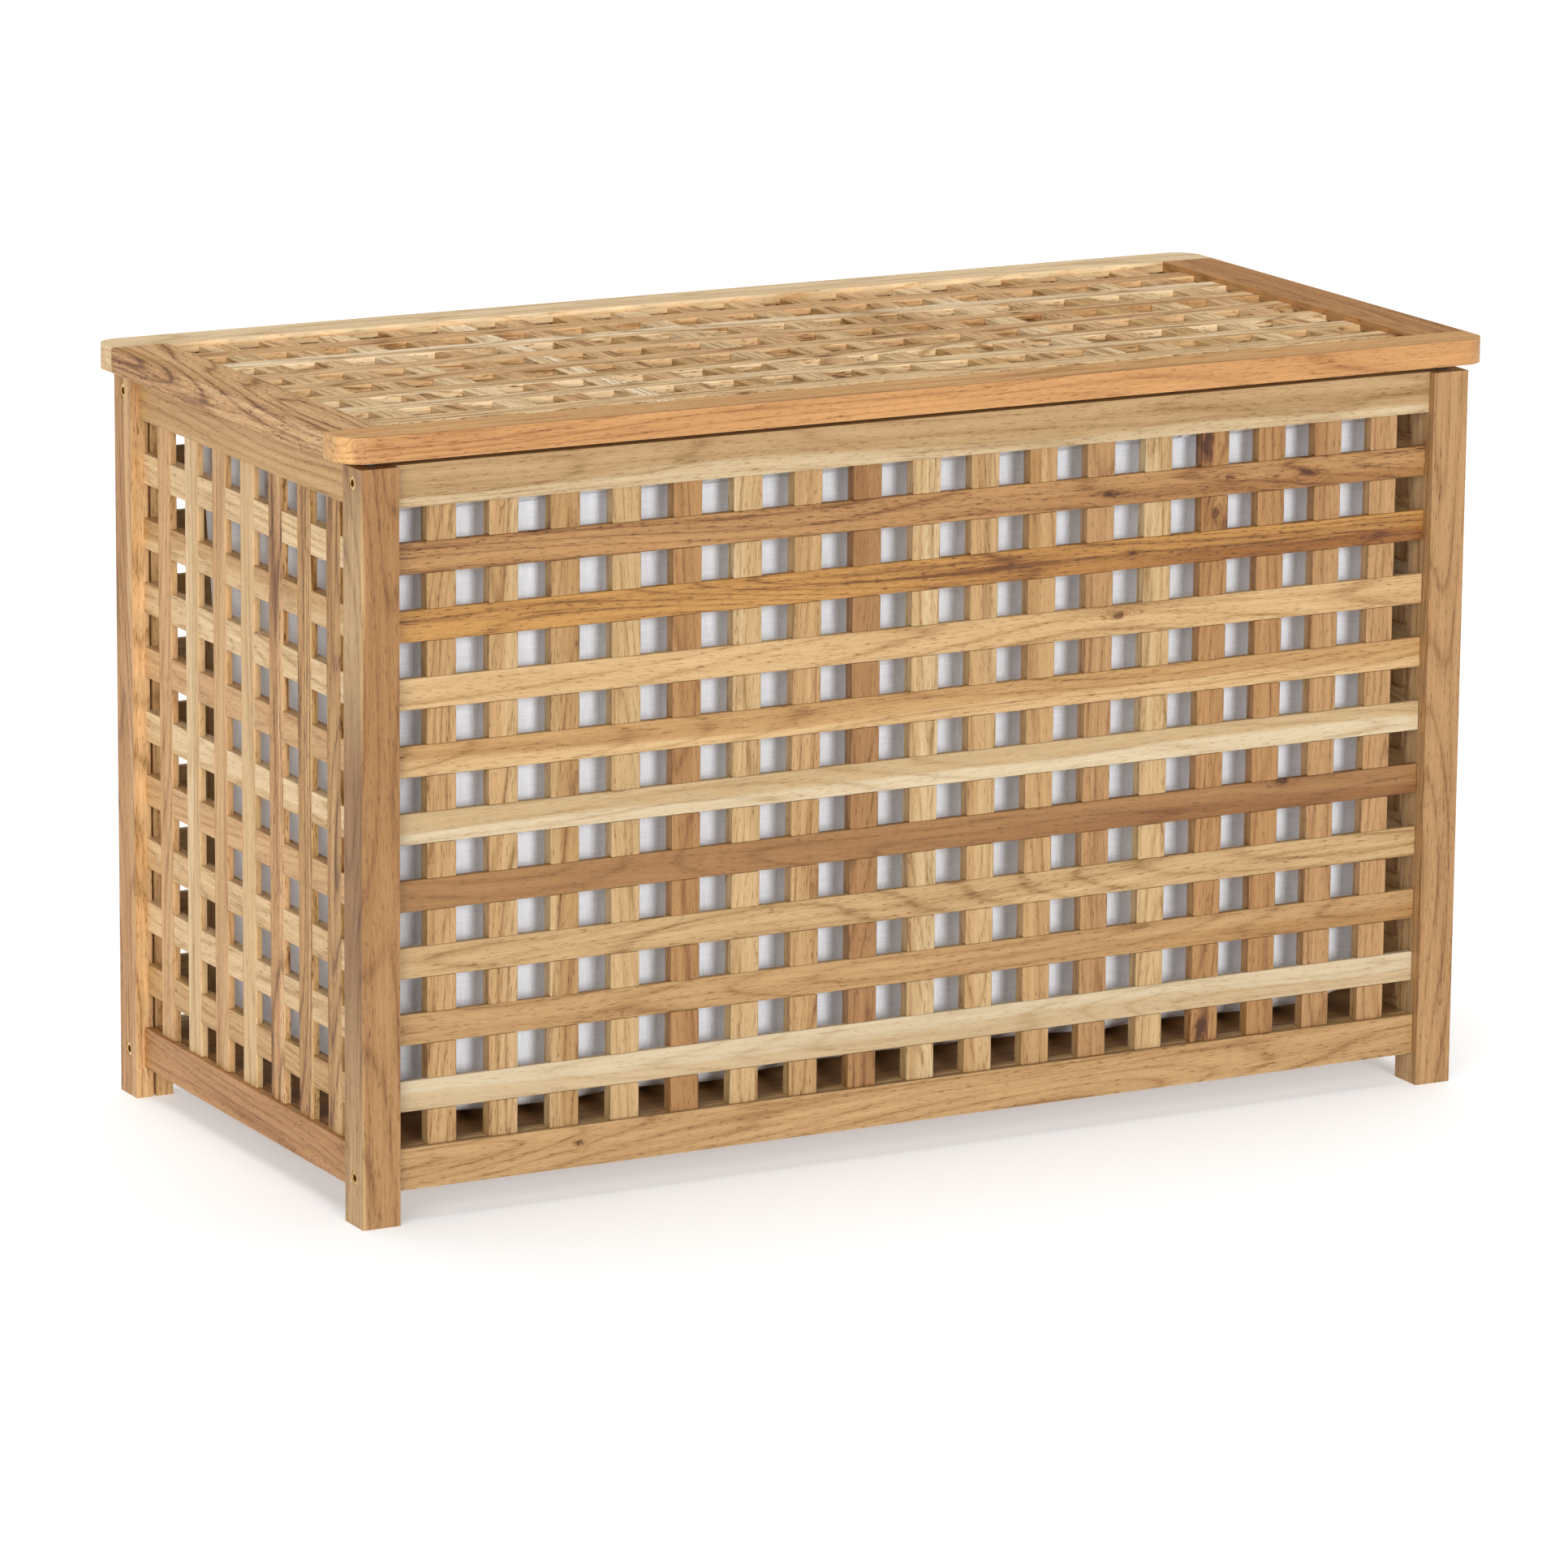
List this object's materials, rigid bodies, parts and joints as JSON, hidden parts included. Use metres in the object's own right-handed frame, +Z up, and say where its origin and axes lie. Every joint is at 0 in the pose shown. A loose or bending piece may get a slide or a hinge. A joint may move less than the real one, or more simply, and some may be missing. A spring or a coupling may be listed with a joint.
{
  "type": "laundry hamper with lid",
  "caption": "Lattice wooden chest used as a laundry hamper, with a hinged lattice lid, a solid bottom board and a hung cotton bag.",
  "frame": {"origin": "centre of the legs' footprint, on the floor under the feet", "axes": "+Z up, +X to the right along the long side, -Y is the front; the lid's hinges are at +Y"},
  "size_m": [0.91, 0.424, 0.5532],
  "materials": {
    "frame_wood": "satin",
    "lattice_wood": "satin",
    "lid_wood": "satin",
    "dowel_wood": "matte",
    "bottom_board": "matte",
    "screw_brass": "satin",
    "nut_steel": "satin",
    "hinge_brass": "satin",
    "bumper_rubber": "matte",
    "bag_cotton": "matte",
    "hook_tape": "matte"
  },
  "bodies": {
    "chest": {"leg_front_left": "frame_wood", "leg_front_right": "frame_wood", "leg_rear_left": "frame_wood", "leg_rear_right": "frame_wood", "front_top_rail": "frame_wood", "front_bottom_rail": "frame_wood", "back_top_rail": "frame_wood", "back_bottom_rail": "frame_wood", "left_top_rail": "frame_wood", "left_bottom_rail": "frame_wood", "right_top_rail": "frame_wood", "right_bottom_rail": "frame_wood", "front_level_strips": "lattice_wood", "front_upright_slats": "lattice_wood", "back_level_strips": "lattice_wood", "back_upright_slats": "lattice_wood", "left_upright_strips": "lattice_wood", "left_level_slats": "lattice_wood", "right_upright_strips": "lattice_wood", "right_level_slats": "lattice_wood", "bottom_panel": "bottom_board", "long_cleats": "dowel_wood", "short_cleats": "dowel_wood", "leg_bolts": "screw_brass", "cross_nuts": "nut_steel", "long_rail_dowels": "dowel_wood", "end_rail_dowels": "dowel_wood", "hinge_fixed_leaves": "hinge_brass", "hinge_pins": "hinge_brass", "hinge_screws_chest": "hinge_brass", "lid_bumpers": "bumper_rubber", "laundry_bag": "bag_cotton", "bag_hem": "bag_cotton", "bag_tabs": "bag_cotton", "bag_hook_tapes": "hook_tape"},
    "lid": {"lid_front_rail": "lid_wood", "lid_back_rail": "lid_wood", "lid_left_stile": "lid_wood", "lid_right_stile": "lid_wood", "lid_long_strips": "lid_wood", "lid_cross_slats": "lid_wood", "lid_stile_dowels": "dowel_wood", "hinge_moving_leaves": "hinge_brass", "hinge_screws_lid": "hinge_brass"}
  },
  "joints": [
    {"name": "lid_hinge", "type": "hinge", "parent": "chest", "child": "lid", "pos_m": [0, 0.2046, 0.5326], "axis": [-1, 0, 0], "range_deg": [0, 95]}
  ]
}
